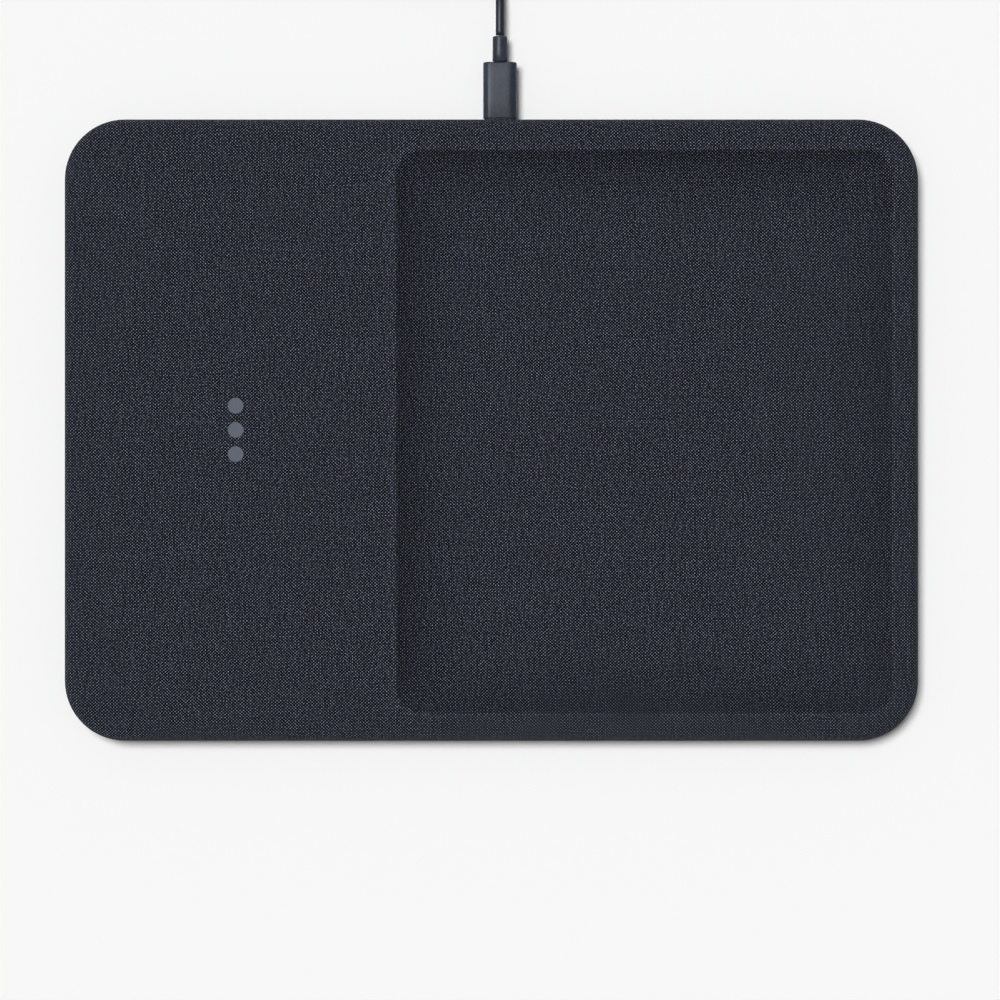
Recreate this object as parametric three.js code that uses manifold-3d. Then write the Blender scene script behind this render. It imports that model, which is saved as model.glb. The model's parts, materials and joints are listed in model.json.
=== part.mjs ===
// Wireless charging pad with a valet tray, in millimetres, +Z up.
// The pad stands on z = 0 with its middle at x = y = 0. The charging platform is at -X, the tray is at +X,
// and the cable plugs into the back edge at +Y.

import * as THREE from 'three';
import { mergeVertices } from 'three/addons/utils/BufferGeometryUtils.js';
import Module from 'manifold-3d';

const wasm = await Module();
wasm.setup();

// ---------------------------------------------------------------- driving dimensions

const clearance = 0.1; // film of glue or air between two faces that rest on each other
const cutGap = 0.3; // room round a piece that sits in a hole

const pad = { length: 249, width: 181.3, height: 13, corner: 17.5, topEdge: 3, bottomEdge: 2.4 };
const grip = { inset: 4.5, thickness: 1, edge: 0.3 };
const cloth = { thickness: 0.5, hem: 8 };
const skin = cloth.thickness + clearance; // from the cloth's outside to the shell's outside
const hemBottom = grip.thickness + clearance;

const rim = { right: 7, back: 8.3, front: 7.4 };
const platformLength = 96.2; // along X, from the left edge to the tray
// The tray's wall is a wide fillet, steepest at the rim, and its corners widen towards the floor.
const tray = { depth: 6, corner: 7, cornerGrowth: 0.3, slope: 46, rimRadius: 1.4, floorRadius: 17.9 };

const shell = { side: 1.8, top: 1.4, trayFloor: 1.2, bottom: 3.3 };
const cover = { bottom: 1.1, top: 3.1, lipInset: 2.7, lipWidth: 1.3, lipHeight: 1.4 };

const dot = { x: -74.5, diameter: 4.6, pitch: 7.05, thickness: 0.12 };

const coil = { x: 53.2, y: 45.2, corner: 21, band: 12.8, thickness: 1.1, pitch: 24.6 };
const carrier = { x: 62, y: 104, floor: 1, wall: 1.3, height: 2.3, bottom: 5.6 };
const ferriteThickness = 1.2;
const foam = { x: 50, y: 90, bottom: 3.3, height: 2.1 };

const mainBoard = { x: -75, y: 69.5, width: 62, depth: 28, thickness: 1, bottom: 4.3 };
const portBoard = { width: 20, depth: 16.6, back: 87.9, thickness: 1, bottom: 4.1 };
const ballast = { x: 43, y: -5, width: 126, depth: 134, thickness: 1.2, bottom: 3.3, corner: 6 };

const port = { x: 2.5, z: 6.8 };
const bezel = { width: 11.6, height: 5, corner: 2.4, back: 90.3, depth: 2.3 };
const receptacle = { width: 8.94, height: 3.26, wall: 0.27, front: 90.2, depth: 7.2 };
const tongue = { width: 6.6, height: 0.6, base: 1.2, reach: 6.1 };

const plug = { width: 8.25, height: 2.4, wall: 0.3, reach: 6, buried: 2 };
const plugGrip = { width: 9.8, height: 5.6, corner: 2.3, length: 16.6, edge: 0.5 };
const plugRelief = { length: 7.3, wide: 4.4, narrow: 4.2 };

const cord = { diameter: 2.5, pitch: 2.55, columns: 4, layers: 4, firstTurn: 18.8 };
const tie = { thickness: 0.5, width: 5, angle: 225 };
const farRelief = { length: 8, wide: 4.8, narrow: 3.6 };
const farGrip = { width: 15.6, height: 7.6, corner: 2.2, length: 22, edge: 0.6 };
const farShell = { width: 12, height: 4.5, wall: 0.35, length: 14, buried: 2 };

const coverScrew = { head: 4.6, headHeight: 0.8, shank: 2.2, bottom: 1.4, length: 5.4 };
const boardScrew = { head: 4, headHeight: 0.8, shank: 1.8, bottom: 3.4, length: 4.6 };
const portScrew = { head: 3.2, headHeight: 0.6, shank: 1.3, length: 3.3 };
const ballastScrew = { head: 3.8, headHeight: 0.7, shank: 1.8, length: 2.7 };

// ---------------------------------------------------------------- places worked out from them

const backEdge = pad.width / 2;
const trayX = [-pad.length / 2 + platformLength, pad.length / 2 - rim.right];
const trayY = [-pad.width / 2 + rim.front, pad.width / 2 - rim.back];
const trayLength = trayX[1] - trayX[0];
const trayWidth = trayY[1] - trayY[0];
const trayMiddle = [(trayX[0] + trayX[1]) / 2, (trayY[0] + trayY[1]) / 2];
const cavityTop = pad.height - skin - shell.top;
const trayUnderside = pad.height - tray.depth - skin - shell.trayFloor;

const screwCorner = { x: 111.3, y: 77.4 };
const coverScrewPlaces = [
  [-screwCorner.x, screwCorner.y],
  [-screwCorner.x, -screwCorner.y],
  [-35, screwCorner.y],
  [-35, -screwCorner.y],
  [screwCorner.x, screwCorner.y],
  [screwCorner.x, -screwCorner.y],
];
const boardScrewPlaces = [[-102, 59.5], [-48, 80.5]];
const portScrewPlaces = [[port.x - 7.5, 84.4], [port.x + 7.5, 84.4]];
const ballastScrewPlaces = [[-10, 52], [96, 52], [-10, -62], [96, -62]];

const cordRadius = cord.diameter / 2;
const gripFront = backEdge + cutGap;
const gripBack = gripFront + plugGrip.length;
const reliefFront = gripBack + cutGap;
const reliefBack = reliefFront + plugRelief.length;
const coilMiddle = [port.x - cord.firstTurn, 153];
const coilBottom = tie.thickness + cutGap;
const coilTop = coilBottom + cord.diameter + (cord.layers - 1) * cord.pitch + clearance;
const coilOuter = cord.firstTurn + cordRadius + clearance;
const coilInner = cord.firstTurn - (cord.columns - 1) * cord.pitch - cordRadius - clearance;

// ---------------------------------------------------------------- finishes

function finish(color, roughness, metalness = 0) {
  return { color, roughness, metalness };
}

const finishes = {
  cloth: finish(0x2e3138, 0.95),
  dotRubber: finish(0x5d626d, 0.55),
  shellPlastic: finish(0x24262a, 0.5),
  gripRubber: finish(0x1c1d20, 0.85),
  ballastSteel: finish(0x8d9094, 0.4, 1),
  screwSteel: finish(0x55585c, 0.35, 1),
  foam: finish(0x303030, 1),
  ferrite: finish(0x3b3a3c, 0.7),
  copper: finish(0xb4683c, 0.4, 1),
  film: finish(0xc8a33a, 0.3),
  leadInsulation: finish(0x2a2a2c, 0.5),
  boardLaminate: finish(0x1f4a34, 0.45),
  chipResin: finish(0x17181a, 0.5),
  capacitorBody: finish(0x9a7a4e, 0.5),
  contactPlastic: finish(0x141517, 0.4),
  plugMetal: finish(0xb9bcc0, 0.25, 1),
  cordJacket: finish(0x50545d, 0.5),
  tieStrap: finish(0x202226, 0.8),
};

// ---------------------------------------------------------------- shapes

const radians = THREE.MathUtils.degToRad;

// Rectangle with round corners, centred.
function roundedRect(width, height, radius, Outline = THREE.Shape) {
  const x = width / 2 - radius;
  const y = height / 2 - radius;
  const outline = new Outline();
  outline.absarc(x, y, radius, 0, Math.PI / 2);
  outline.absarc(-x, y, radius, Math.PI / 2, Math.PI);
  outline.absarc(-x, -y, radius, Math.PI, 1.5 * Math.PI);
  outline.absarc(x, -y, radius, 1.5 * Math.PI, 2 * Math.PI);
  outline.closePath();
  return outline;
}

// Slot with round ends, a hair short of full half circles so that every side keeps some length.
function slot(width, height, Outline = THREE.Shape) {
  return roundedRect(width, height, height / 2 - 0.02, Outline);
}

function withHole(outline, hole) {
  outline.holes.push(hole);
  return outline;
}

// A rounded rectangle carried up a profile of [inset, z, corner] points: each level is the outline moved
// in by its inset. Its corner's radius keeps the same centre, unless the point gives one.
function profiledSlab(width, depth, radius, profile, curveSegments = 4) {
  const steps = profile.length - 1;
  const outline = roundedRect(width, depth, radius);
  const geometry = new THREE.ExtrudeGeometry(outline, {
    depth: steps,
    steps,
    bevelEnabled: false,
    curveSegments,
  });
  const place = geometry.attributes.position;
  const cornerX = width / 2 - radius;
  const cornerY = depth / 2 - radius;
  for (let i = 0; i < place.count; i += 1) {
    const [inset, z, corner = radius - inset] = profile[Math.round(place.getZ(i))];
    const move = inset + corner - radius;
    const centreX = THREE.MathUtils.clamp(place.getX(i), -cornerX, cornerX);
    const centreY = THREE.MathUtils.clamp(place.getY(i), -cornerY, cornerY);
    const share = corner / radius;
    const x = centreX - Math.sign(centreX) * move + (place.getX(i) - centreX) * share;
    const y = centreY - Math.sign(centreY) * move + (place.getY(i) - centreY) * share;
    place.setXYZ(i, x, y, z);
  }
  return geometry;
}

// An outline pulled straight up from z = 0.
function prism(outline, height, curveSegments = 4) {
  return new THREE.ExtrudeGeometry(outline, { depth: height, bevelEnabled: false, curveSegments });
}

// The same with softened edges at both ends.
function softPrism(outline, height, edge, curveSegments = 4) {
  const geometry = new THREE.ExtrudeGeometry(outline, {
    depth: height - 2 * edge,
    bevelThickness: edge,
    bevelSize: edge,
    bevelOffset: -edge,
    bevelSegments: 2,
    curveSegments,
  });
  return geometry.translate(0, 0, edge);
}

function block(x, y, z) {
  return new THREE.BoxGeometry(x, y, z).translate(0, 0, z / 2);
}

function post(diameter, height, segments = 10) {
  const geometry = new THREE.CylinderGeometry(diameter / 2, diameter / 2, height, segments);
  return geometry.rotateX(Math.PI / 2).translate(0, 0, height / 2);
}

// A turned piece that stands on z = 0, from [radius, z] points.
function turned(points, segments = 10) {
  const profile = points.map(([radius, z]) => new THREE.Vector2(radius, z));
  return new THREE.LatheGeometry(profile, segments).rotateX(Math.PI / 2);
}

// Lays a piece that stands on z = 0 down, so that it runs towards +Y or towards -X from where it stood.
const alongBack = (geometry) => geometry.rotateX(-Math.PI / 2);
const alongLeft = (geometry) => geometry.rotateY(-Math.PI / 2);

// A round cord or lead through a list of points.
function tube(points, diameter, steps) {
  const section = new THREE.Shape();
  section.absarc(0, 0, diameter / 2, 0, 2 * Math.PI);
  const path = new THREE.CatmullRomCurve3(points.map((point) => new THREE.Vector3(...point)));
  return new THREE.ExtrudeGeometry(section, { steps, extrudePath: path, curveSegments: 4 });
}

// A round-headed screw standing head down.
function screwShape({ head, headHeight, shank, length }) {
  const tip = 0.25 * shank;
  return turned([
    [0, 0],
    [0.42 * head, 0],
    [head / 2, 0.3 * headHeight],
    [head / 2, headHeight],
    [shank / 2, headHeight],
    [shank / 2, length - tip],
    [0, length],
  ]);
}

// ---------------------------------------------------------------- joining and cutting

function solid(geometry) {
  const bare = geometry.clone();
  bare.deleteAttribute('normal');
  bare.deleteAttribute('uv');
  const merged = mergeVertices(bare, 1e-4);
  return new wasm.Manifold(
    new wasm.Mesh({
      numProp: 3,
      vertProperties: new Float32Array(merged.attributes.position.array),
      triVerts: new Uint32Array(merged.index.array),
    }),
  );
}

function surface(manifold) {
  const mesh = manifold.getMesh();
  const geometry = new THREE.BufferGeometry();
  geometry.setAttribute('position', new THREE.BufferAttribute(mesh.vertProperties, 3));
  geometry.setIndex(new THREE.BufferAttribute(mesh.triVerts, 1));
  geometry.computeVertexNormals();
  return geometry;
}

function joined(...geometries) {
  return surface(geometries.map(solid).reduce((whole, other) => whole.add(other)));
}

function cut(geometry, ...tools) {
  return surface(tools.map(solid).reduce((left, tool) => left.subtract(tool), solid(geometry)));
}

function at(places, make) {
  return places.map(([x, y]) => make().translate(x, y, 0));
}

// ---------------------------------------------------------------- the pad's outside and the tray's surface

// [inset, z] round one edge of the pad's side, from one angle above the level to another.
function edgeArc(depth, centreZ, radius, from, to, arcSteps) {
  return Array.from({ length: arcSteps + 1 }, (_, i) => {
    const angle = from + ((to - from) * i) / arcSteps;
    return [depth + radius * (1 - Math.cos(angle)), centreZ + radius * Math.sin(angle)];
  });
}

// [inset, z] up the pad's side, a depth below the cloth's outside, between two heights.
function sideProfile(depth, low, high, arcSteps = 4) {
  const bottomZ = hemBottom + pad.bottomEdge;
  const topZ = pad.height - pad.topEdge;
  const bottomRadius = pad.bottomEdge - depth;
  const topRadius = pad.topEdge - depth;
  const lift = (z, centreZ, radius) => Math.asin(THREE.MathUtils.clamp((z - centreZ) / radius, -1, 1));
  const first = lift(low, bottomZ, bottomRadius);
  const last = Math.min(0, lift(high, bottomZ, bottomRadius));
  const underside = edgeArc(depth, bottomZ, bottomRadius, first, last, arcSteps);
  if (high < topZ) {
    return underside;
  }
  return [...underside, ...edgeArc(depth, topZ, topRadius, 0, lift(high, topZ, topRadius), arcSteps)];
}

const outerSlab = (profile) => profiledSlab(pad.length, pad.width, pad.corner, profile);

// The hollow of the tray, a depth below the cloth's surface, open above: over the rounded rim and down the
// fillet to the floor.
function trayHollow(depth, arcSteps = 5) {
  const slope = radians(tray.slope);
  const half = Math.tan(slope / 2);
  const rimRadius = Math.max(tray.rimRadius - depth, 0.2);
  const floorRadius = tray.floorRadius + depth;
  const rimCorner = (tray.rimRadius - depth) * half;
  const floorCorner = rimCorner + tray.depth / Math.tan(slope);
  const top = pad.height - depth;
  const floor = top - tray.depth;
  const profile = [];
  for (let i = 0; i <= arcSteps; i += 1) {
    const angle = slope * (1 - i / arcSteps);
    const inset = floorCorner + floorRadius * (half - Math.sin(angle));
    profile.push([inset, floor + floorRadius * (1 - Math.cos(angle))]);
  }
  profile.reverse();
  for (let i = 0; i <= arcSteps; i += 1) {
    const angle = slope * (1 - i / arcSteps);
    const inset = rimCorner - rimRadius * (half - Math.sin(angle));
    profile.push([inset, top - rimRadius * (1 - Math.cos(angle))]);
  }
  profile.push([rimCorner - rimRadius * half, pad.height + 1]);
  const levels = profile.map(([inset, z]) => [inset, z, tray.corner + tray.cornerGrowth * inset]);
  const hollow = profiledSlab(trayLength, trayWidth, tray.corner, levels, 5);
  return hollow.translate(trayMiddle[0], trayMiddle[1], 0);
}

// The port's hole through the back wall, as large as the given outline, between two Y positions.
function portHole(outline, front, back) {
  return alongBack(prism(outline, back - front)).translate(port.x, front, port.z);
}

// ---------------------------------------------------------------- the shells

function fabricCover() {
  const outside = cut(outerSlab(sideProfile(0, hemBottom, pad.height, 5)), trayHollow(0));
  const low = hemBottom + cloth.thickness;
  const high = pad.height - cloth.thickness;
  const inside = cut(
    outerSlab(sideProfile(cloth.thickness, low, high)),
    trayHollow(cloth.thickness),
  );
  const hemOpening = outerSlab([[cloth.hem, 0], [cloth.hem, low + clearance]]);
  const bezelHole = roundedRect(bezel.width + cutGap, bezel.height + cutGap, bezel.corner);
  return cut(outside, inside, hemOpening, portHole(bezelHole, backEdge - 2, backEdge + 1));
}

function topShell() {
  const outside = outerSlab(sideProfile(skin, shell.bottom, pad.height - skin));
  const inner = skin + shell.side;
  const cavity = cut(
    outerSlab([[inner, shell.bottom - 1], [inner, cavityTop - 0.6], [inner + 0.6, cavityTop]]),
    trayHollow(skin + shell.trayFloor, 3),
  );
  const coverBosses = at(coverScrewPlaces, () => (
    post(5.6, cavityTop + 0.2 - shell.bottom).translate(0, 0, shell.bottom)
  ));
  const boardTop = mainBoard.bottom + mainBoard.thickness + clearance;
  const boardBosses = at(boardScrewPlaces, () => (
    post(5, cavityTop + 0.2 - boardTop).translate(0, 0, boardTop)
  ));
  const ballastTop = ballast.bottom + ballast.thickness + cutGap;
  const ballastBosses = at(ballastScrewPlaces, () => (
    post(6, trayUnderside + 0.2 - ballastTop).translate(0, 0, ballastTop)
  ));
  const ribY = carrier.y / 2 + cutGap + 0.6;
  const ribs = [[-20, -ribY], [20, -ribY], [-20, ribY], [20, ribY]].map(([x, y]) => (
    block(12, 1.2, 4).translate(dot.x + x, y, cavityTop + 0.2 - 4)
  ));
  const walls = joined(
    cut(outside, cavity),
    ...coverBosses,
    ...boardBosses,
    ...ballastBosses,
    ...ribs,
  );
  const screwHole = (screw, low, high) => post(screw.shank + 2 * cutGap, high - low).translate(0, 0, low);
  const bezelHole = roundedRect(bezel.width + 2 * cutGap, bezel.height + 2 * cutGap, bezel.corner + 0.2);
  return cut(
    walls,
    trayHollow(skin),
    ...at(coverScrewPlaces, () => screwHole(coverScrew, shell.bottom - 1, 7)),
    ...at(boardScrewPlaces, () => screwHole(boardScrew, boardTop - 1, 8.4)),
    ...at(ballastScrewPlaces, () => screwHole(ballastScrew, ballastTop - 1, 6.2)),
    portHole(bezelHole, backEdge - 4, backEdge + 1),
  );
}

function bottomCover() {
  const rebate = hemBottom + skin;
  const raised = cloth.hem + cutGap;
  const plate = outerSlab([
    [raised, cover.bottom],
    [raised, rebate],
    ...sideProfile(skin, rebate, cover.top, 3),
  ]);
  const lip = cut(
    outerSlab([[cover.lipInset, cover.top - 0.5], [cover.lipInset, cover.top + cover.lipHeight]]),
    outerSlab([
      [cover.lipInset + cover.lipWidth, 0],
      [cover.lipInset + cover.lipWidth, pad.height],
    ]),
  );
  const lipGaps = [
    block(portBoard.width + 3, 12, 5).translate(port.x, backEdge - 6, cover.top),
    ...at(coverScrewPlaces, () => post(6.6, 5).translate(0, 0, cover.top)),
  ];
  const portPosts = at(portScrewPlaces, () => (
    post(4.4, portBoard.bottom - clearance - cover.top + 0.2).translate(0, 0, cover.top - 0.2)
  ));
  const headTop = coverScrew.bottom + coverScrew.headHeight + clearance;
  return cut(
    joined(plate, cut(lip, ...lipGaps), ...portPosts),
    ...at(coverScrewPlaces, () => post(coverScrew.head + 2 * cutGap, headTop)),
    ...at(coverScrewPlaces, () => post(coverScrew.shank + 2 * cutGap, 5)),
    ...at(portScrewPlaces, () => post(portScrew.shank + 2 * cutGap, 3).translate(0, 0, 2.3)),
  );
}

function baseGrip() {
  return outerSlab([
    [grip.inset + grip.edge, 0],
    [grip.inset, grip.edge],
    [grip.inset, grip.thickness],
  ]);
}

// ---------------------------------------------------------------- inside the pad

function ballastPlate() {
  const plate = prism(roundedRect(ballast.width, ballast.depth, ballast.corner), ballast.thickness, 2)
    .translate(ballast.x, ballast.y, ballast.bottom);
  const headRoom = ballastScrew.headHeight + clearance;
  return cut(
    plate,
    ...at(ballastScrewPlaces, () => (
      post(ballastScrew.head + 2 * cutGap, headRoom).translate(0, 0, ballast.bottom)
    )),
    ...at(ballastScrewPlaces, () => post(ballastScrew.shank + 2 * cutGap, 9)),
  );
}

function coilCarrier() {
  return cut(
    block(carrier.x, carrier.y, carrier.height),
    block(carrier.x - 2 * carrier.wall, carrier.y - 2 * carrier.wall, carrier.height)
      .translate(0, 0, carrier.floor),
  );
}

function coilWinding() {
  const outline = roundedRect(coil.x, coil.y, coil.corner);
  const inside = coil.corner - coil.band;
  const hole = roundedRect(coil.x - 2 * coil.band, coil.y - 2 * coil.band, inside, THREE.Path);
  return prism(withHole(outline, hole), coil.thickness);
}

function drilledBoard(board, middleY, places, screw) {
  const middleX = board.x ?? port.x;
  return cut(
    block(board.width, board.depth, board.thickness).translate(middleX, middleY, board.bottom),
    ...at(places, () => post(screw.shank + 2 * cutGap, pad.height)),
  );
}

// ---------------------------------------------------------------- socket and plugs

const socketRing = (size, wall, length) => prism(
  withHole(slot(size.width, size.height), slot(size.width - 2 * wall, size.height - 2 * wall, THREE.Path)),
  length,
);

function portBezel() {
  const hole = slot(receptacle.width + 2 * cutGap, receptacle.height + 2 * cutGap, THREE.Path);
  const ring = prism(withHole(roundedRect(bezel.width, bezel.height, bezel.corner), hole), bezel.depth);
  return alongBack(ring);
}

function receptacleTongue() {
  const inside = 2 * (receptacle.wall + clearance);
  return alongBack(joined(
    prism(slot(receptacle.width - inside, receptacle.height - inside), tongue.base),
    block(tongue.width, tongue.height, tongue.reach),
  ));
}

function plugInsert(length) {
  const inside = 2 * (plug.wall + clearance);
  const body = prism(slot(plug.width - inside, plug.height - inside), length);
  return alongBack(cut(body, block(tongue.width + 0.36, tongue.height + cutGap, tongue.reach - 0.8)));
}

function plugGripShape() {
  const outline = roundedRect(plugGrip.width, plugGrip.height, plugGrip.corner);
  const pocket = prism(slot(plug.width + 4 * clearance, plug.height + 4 * clearance), 2 * plug.buried);
  const depth = plug.buried + 2 * clearance;
  return alongBack(cut(
    softPrism(outline, plugGrip.length, plugGrip.edge),
    pocket.translate(0, 0, depth - 2 * plug.buried),
  ));
}

function reliefShape({ length, wide, narrow }) {
  return turned([[0, 0], [wide / 2, 0], [wide / 2, 0.2 * length], [narrow / 2, length], [0, length]], 12);
}

function farGripShape() {
  const outline = roundedRect(farGrip.height, farGrip.width, farGrip.corner);
  const room = 4 * clearance;
  const pocket = block(farShell.height + room, farShell.width + room, 2 * farShell.buried);
  const depth = farShell.buried + 2 * clearance;
  return alongLeft(cut(
    softPrism(outline, farGrip.length, farGrip.edge),
    pocket.translate(0, 0, farGrip.length - depth),
  ));
}

function farShellShape() {
  const inner = [farShell.height - 2 * farShell.wall, farShell.width - 2 * farShell.wall];
  const outline = withHole(
    roundedRect(farShell.height, farShell.width, 0.6),
    roundedRect(inner[0], inner[1], 0.3, THREE.Path),
  );
  return alongLeft(prism(outline, farShell.length, 1));
}

// ---------------------------------------------------------------- the cord

// Out of the strain relief, down to the surface and straight back to the coil's first turn.
const runRoute = [
  [port.x, reliefBack + cutGap, port.z],
  [port.x, 119, 6.8],
  [port.x, 123, 6.7],
  [port.x, 127, 6.2],
  [port.x, 131, 5.1],
  [port.x, 135, 3.7],
  [port.x, 139, 2.5],
  [port.x, 142, 1.95],
];

// Off the coil's last turn, down to the surface and along it to the far plug.
const tailRoute = [
  [-27.3, 171.7, 8.6],
  [-32, 171, 6.2],
  [-37, 169.6, 3.6],
  [-42, 167.6, 1.8],
  [-47, 165.4, 1.3],
  [-52, 163.2, 1.5],
  [-57, 161.5, 2.4],
  [-62, 160.7, 3.4],
  [-66.5, 160.5, 3.8],
];
const farStart = tailRoute[tailRoute.length - 1];

function coilRing() {
  return turned([
    [coilInner, coilBottom],
    [coilOuter, coilBottom],
    [coilOuter, coilTop],
    [coilInner, coilTop],
    [coilInner, coilBottom],
  ], 36);
}

// A flat strap in a closed loop round the coil's bundle of turns.
function tieLoop() {
  const inner = { x: coilInner - 0.5, width: coilOuter - coilInner + 0.5 + cutGap };
  const innerHeight = coilTop + cutGap - tie.thickness;
  const outline = withHole(
    roundedRect(inner.width + 2 * tie.thickness, innerHeight + 2 * tie.thickness, 1.1),
    roundedRect(inner.width, innerHeight, 0.6, THREE.Path),
  );
  const loop = alongBack(prism(outline, tie.width, 2)).translate(
    inner.x + inner.width / 2,
    -tie.width / 2,
    tie.thickness + innerHeight / 2,
  );
  return loop.rotateZ(radians(tie.angle));
}

// ---------------------------------------------------------------- the assembly

const object = new THREE.Group();

function piece(name, geometry, look, place = [0, 0, 0]) {
  const mesh = new THREE.Mesh(geometry, new THREE.MeshStandardMaterial(look));
  mesh.name = name;
  mesh.position.set(...place);
  object.add(mesh);
}

function pieces(name, places, make, look, z) {
  places.forEach(([x, y], i) => piece(`${name}_${i + 1}`, make(), look, [x, y, z]));
}

piece('fabric_cover', fabricCover(), finishes.cloth);
piece('top_shell', topShell(), finishes.shellPlastic);
piece('bottom_cover', bottomCover(), finishes.shellPlastic);
piece('base_grip', baseGrip(), finishes.gripRubber);
const coverScrewShape = () => screwShape(coverScrew);
pieces('cover_screw', coverScrewPlaces, coverScrewShape, finishes.screwSteel, coverScrew.bottom);

const dotBottom = pad.height + 0.02;
const dotDisc = () => post(dot.diameter, dot.thickness, 24);
piece('dot_back', dotDisc(), finishes.dotRubber, [dot.x, dot.pitch, dotBottom]);
piece('dot_middle', dotDisc(), finishes.dotRubber, [dot.x, 0, dotBottom]);
piece('dot_front', dotDisc(), finishes.dotRubber, [dot.x, -dot.pitch, dotBottom]);

// Ballast under the tray
piece('ballast_plate', ballastPlate(), finishes.ballastSteel);
const ballastScrewShape = () => screwShape(ballastScrew);
pieces('ballast_screw', ballastScrewPlaces, ballastScrewShape, finishes.screwSteel, ballast.bottom);

// Coil pack under the platform, from the bottom up
const ferriteZ = carrier.bottom + carrier.floor + clearance;
const lowerCoilZ = ferriteZ + ferriteThickness + clearance;
const upperCoilZ = lowerCoilZ + coil.thickness + clearance;
const filmZ = upperCoilZ + coil.thickness + clearance;
const packX = carrier.x - 2 * carrier.wall - 2 * clearance;
const packY = carrier.y - 2 * carrier.wall - 2 * clearance;
piece('coil_foam', block(foam.x, foam.y, foam.height), finishes.foam, [dot.x, 0, foam.bottom]);
piece('coil_carrier', coilCarrier(), finishes.shellPlastic, [dot.x, 0, carrier.bottom]);
piece('ferrite_sheet', block(packX, packY, ferriteThickness), finishes.ferrite, [dot.x, 0, ferriteZ]);
piece('coil_back', coilWinding(), finishes.copper, [dot.x, coil.pitch, lowerCoilZ]);
piece('coil_front', coilWinding(), finishes.copper, [dot.x, -coil.pitch, lowerCoilZ]);
piece('coil_middle', coilWinding(), finishes.copper, [dot.x, 0, upperCoilZ]);
piece('coil_film', block(packX, packY, 0.15), finishes.film, [dot.x, 0, filmZ]);

const boardTopZ = mainBoard.bottom + mainBoard.thickness;
[
  { y: coil.pitch, z: lowerCoilZ, x: -42.3 },
  { y: 0, z: upperCoilZ, x: -40.9 },
  { y: -coil.pitch, z: lowerCoilZ, x: -39.5 },
].forEach(({ y, z, x }, i) => {
  const start = dot.x + coil.x / 2 + cutGap;
  const height = z + coil.thickness / 2;
  const landing = boardTopZ + 0.7;
  const route = [
    [start, y, height],
    [x - 0.5, y + 2, height],
    [x, y + 6, height - 0.3],
    [x, 40, 7.4],
    [x, 52.5 + i, 6.6],
    [-46.2, 57 + 1.7 * i, landing],
    [-50.5, 58 + 1.7 * i, landing],
  ];
  piece(`coil_lead_${i + 1}`, tube(route, 1, 16), finishes.leadInsulation);
});

// Power and control board
const mainBoardShape = drilledBoard(mainBoard, mainBoard.y, boardScrewPlaces, boardScrew);
piece('main_board', mainBoardShape, finishes.boardLaminate);
const boardScrewShape = () => screwShape(boardScrew);
pieces('board_screw', boardScrewPlaces, boardScrewShape, finishes.screwSteel, boardScrew.bottom);
const onBoard = boardTopZ + clearance;
const inductorOutline = roundedRect(10, 10, 1.5);
piece('power_inductor', softPrism(inductorOutline, 4.2, 0.5, 2), finishes.ferrite, [-90, 70, onBoard]);
piece('controller_chip', block(7, 7, 0.9), finishes.chipResin, [-74, 74, onBoard]);
piece('driver_chip', block(5, 5, 0.9), finishes.chipResin, [-63, 74, onBoard]);
pieces(
  'capacitor',
  [[-84, 60], [-75, 60], [-66, 60]],
  () => block(6, 4.5, 3),
  finishes.capacitorBody,
  onBoard,
);
piece('board_header', block(6, 4, 3), finishes.contactPlastic, [-50, 74, onBoard]);

// Socket and its board
const portBoardY = portBoard.back - portBoard.depth / 2;
const portBoardShape = drilledBoard(portBoard, portBoardY, portScrewPlaces, portScrew);
const portBoardTop = portBoard.bottom + portBoard.thickness;
piece('port_board', portBoardShape, finishes.boardLaminate);
portScrewPlaces.forEach(([x, y], i) => {
  const screw = screwShape(portScrew).rotateX(Math.PI);
  const top = portBoardTop + clearance + portScrew.headHeight;
  piece(`port_screw_${i + 1}`, screw, finishes.screwSteel, [x, y, top]);
});
piece('port_chip', block(3.5, 3.5, 0.6), finishes.chipResin, [port.x, 74.5, portBoardTop + clearance]);

const socketY = receptacle.front - receptacle.depth;
const receptacleRing = alongBack(socketRing(receptacle, receptacle.wall, receptacle.depth));
piece('receptacle_shell', receptacleRing, finishes.plugMetal, [port.x, socketY, port.z]);
const tonguePlace = [port.x, socketY + clearance, port.z];
piece('receptacle_tongue', receptacleTongue(), finishes.contactPlastic, tonguePlace);
const bezelPlace = [port.x, bezel.back - bezel.depth, port.z];
piece('port_bezel', portBezel(), finishes.shellPlastic, bezelPlace);

const leadRoute = [
  [port.x - portBoard.width / 2 - cutGap, 76, 4.6],
  [-14, 75.6, 4.4],
  [-26, 72, 4.4],
  [-38, 71, 4.8],
  [-43, 73, 6.2],
  [-46.7, 74, 7],
];
piece('board_lead', tube(leadRoute, 1.8, 16), finishes.leadInsulation);

// The cable: plug at the pad, cord, far plug
const plugTip = backEdge - plug.reach;
const plugLength = plug.reach + cutGap + plug.buried;
const plugRing = alongBack(socketRing(plug, plug.wall, plugLength));
piece('cable_plug_shell', plugRing, finishes.plugMetal, [port.x, plugTip, port.z]);
const insertPlace = [port.x, plugTip + cutGap, port.z];
piece('cable_plug_insert', plugInsert(plugLength - 2 * cutGap), finishes.contactPlastic, insertPlace);
piece('cable_plug_grip', plugGripShape(), finishes.cordJacket, [port.x, gripFront, port.z]);
const reliefPlace = [port.x, reliefFront, port.z];
piece('cable_plug_relief', alongBack(reliefShape(plugRelief)), finishes.cordJacket, reliefPlace);

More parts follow.
